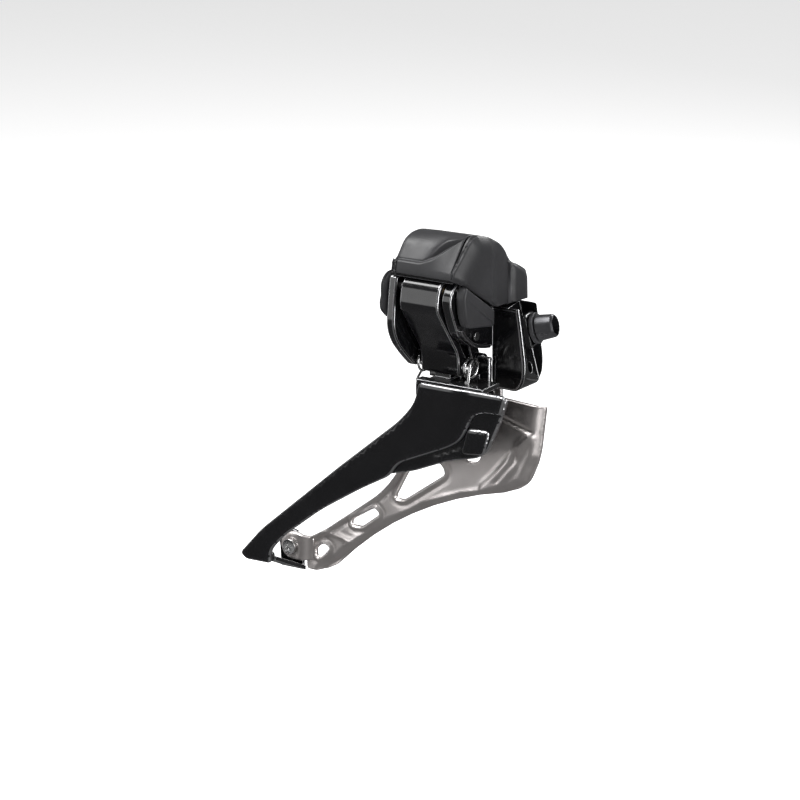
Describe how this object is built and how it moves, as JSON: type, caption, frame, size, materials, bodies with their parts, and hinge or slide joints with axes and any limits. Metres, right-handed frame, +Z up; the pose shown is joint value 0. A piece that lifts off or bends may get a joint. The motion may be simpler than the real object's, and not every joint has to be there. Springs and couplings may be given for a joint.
{
  "type": "front derailleur",
  "caption": "Electronic bicycle front derailleur: motor unit on a hanger bracket, parallelogram links and a two-plate chain cage.",
  "frame": {"origin": "on the flat hanger face of the bracket, 6 mm below the fixing bolt's axis along the face", "axes": "+X forward on the bicycle, +Y inward to its centre plane, +Z up"},
  "size_m": [0.0938, 0.0346, 0.1097],
  "materials": {
    "cover_plastic": "satin, fine grain",
    "seal_rubber": "matt",
    "black_alloy": "gloss black anodised",
    "nickel": "satin nickel",
    "dark_steel": "dark, semi-gloss",
    "bright_steel": "bright",
    "brass": "machined",
    "board": "matt solder mask"
  },
  "bodies": {
    "base": {"base_bracket": "black_alloy", "cover_rear": "cover_plastic", "cover_front": "cover_plastic", "motor_case": "cover_plastic", "case_end": "cover_plastic", "case_seal": "seal_rubber", "rear_cap": "cover_plastic", "electric_motor": "bright_steel", "motor_gearhead": "dark_steel", "gear_plate": "bright_steel", "idler_pin": "bright_steel", "bearing_rear": "bright_steel", "bearing_front": "bright_steel", "circuit_board": "board", "wire_socket": "seal_rubber", "upper_pin": "bright_steel", "radius_washer": "black_alloy", "flat_washer": "dark_steel", "fixing_bolt": "dark_steel", "case_screw": "bright_steel"},
    "outer_link": {"outer_link": "black_alloy", "link_bush_rear": "brass", "link_bush_front": "brass"},
    "inner_link": {"inner_link": "black_alloy", "output_shaft": "bright_steel", "output_sector": "bright_steel"},
    "idler": {"idler_gear": "brass"},
    "drive": {"drive_pinion": "brass"},
    "support": {"support_bolt": "dark_steel"},
    "cage": {"outer_plate": "black_alloy", "inner_plate": "nickel", "cage_bridge": "black_alloy", "tail_bridge": "black_alloy", "tail_screw": "bright_steel", "rivet_outer_1": "dark_steel", "rivet_outer_2": "dark_steel", "rivet_inner_1": "bright_steel", "rivet_inner_2": "bright_steel", "lower_pin_outer": "bright_steel", "lower_pin_inner": "bright_steel", "spring_front": "bright_steel", "spring_rear": "bright_steel"}
  },
  "joints": [
    {"name": "outer_link_swing", "type": "hinge", "parent": "base", "child": "outer_link", "pos_m": [-0.0174, -0.025, 0.021], "axis": [-1, 0, 0], "range_deg": [0, 18]},
    {"name": "inner_link_swing", "type": "hinge", "parent": "base", "child": "inner_link", "pos_m": [-0.0174, -0.0155, 0.021], "axis": [-1, 0, 0], "range_deg": [0, 18]},
    {"name": "cage_pivot", "type": "hinge", "parent": "outer_link", "child": "cage", "pos_m": [-0.0174, -0.0153, -0.003], "axis": [-1, 0, 0], "range_deg": [-18, 0]},
    {"name": "idler_spin", "type": "hinge", "parent": "base", "child": "idler", "pos_m": [-0.0064, -0.01016, 0.02634], "axis": [-1, 0, 0], "range_deg": [-49.5, 0]},
    {"name": "drive_spin", "type": "hinge", "parent": "base", "child": "drive", "pos_m": [-0.0061, -0.01583, 0.02961], "axis": [-1, 0, 0], "range_deg": [0, 111.38]},
    {"name": "support_bolt_travel", "type": "slide", "parent": "base", "child": "support", "axis": [0.9491, 0.2017, 0.2419], "range_m": [0, 0.004]}
  ],
  "couplings": [
    {"joint": "inner_link_swing", "follows": "outer_link_swing", "ratio": 1},
    {"joint": "cage_pivot", "follows": "outer_link_swing", "ratio": -1},
    {"joint": "idler_spin", "follows": "outer_link_swing", "ratio": -2.75},
    {"joint": "drive_spin", "follows": "outer_link_swing", "ratio": 6.1875}
  ]
}
